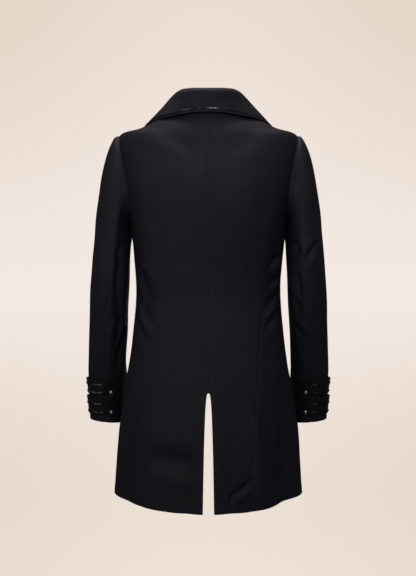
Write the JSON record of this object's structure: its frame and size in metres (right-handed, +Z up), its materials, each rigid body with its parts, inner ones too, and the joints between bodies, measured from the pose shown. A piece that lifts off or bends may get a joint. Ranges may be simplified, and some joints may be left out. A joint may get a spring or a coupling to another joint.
{
  "type": "redingote",
  "caption": "Man's fitted black frock coat with a wide fall collar, lapels, braided and buttoned cuff straps and a deep back vent, in its worn form.",
  "frame": {"origin": "midway between the two neck points, where the shoulder seams meet the collar and the wearer's shoulders carry the coat", "axes": "+Z up, -Y the coat's front, +X the wearer's left"},
  "size_m": [0.5918, 0.2989, 0.9652],
  "materials": {
    "coat_cloth": "black twill suiting with a soft sheen",
    "strap_brocade": "black figured cloth with a small diamond repeat",
    "black_braid": "glossy black twisted braid",
    "silver_metal": "domed silver-coloured metal, satin"
  },
  "bodies": {
    "root": {"back_left": "coat_cloth", "side_body_left": "coat_cloth", "front_left": "coat_cloth", "lapel_left": "coat_cloth", "top_sleeve_left": "coat_cloth", "under_sleeve_left": "coat_cloth", "back_right": "coat_cloth", "side_body_right": "coat_cloth", "front_right": "coat_cloth", "lapel_right": "coat_cloth", "top_sleeve_right": "coat_cloth", "under_sleeve_right": "coat_cloth", "collar_stand": "coat_cloth", "collar_fall": "coat_cloth", "collar_braid": "black_braid", "cuff_strap_upper_left": "strap_brocade", "cuff_button_upper_left": "silver_metal", "cuff_braid_upper_upper_left": "black_braid", "cuff_braid_upper_lower_left": "black_braid", "cuff_strap_upper_right": "strap_brocade", "cuff_button_upper_right": "silver_metal", "cuff_braid_upper_upper_right": "black_braid", "cuff_braid_upper_lower_right": "black_braid", "cuff_strap_lower_left": "strap_brocade", "cuff_button_lower_left": "silver_metal", "cuff_braid_lower_upper_left": "black_braid", "cuff_braid_lower_lower_left": "black_braid", "cuff_strap_lower_right": "strap_brocade", "cuff_button_lower_right": "silver_metal", "cuff_braid_lower_upper_right": "black_braid", "cuff_braid_lower_lower_right": "black_braid", "front_button_1": "silver_metal", "front_button_2": "silver_metal", "front_button_3": "silver_metal"}
  },
  "joints": []
}
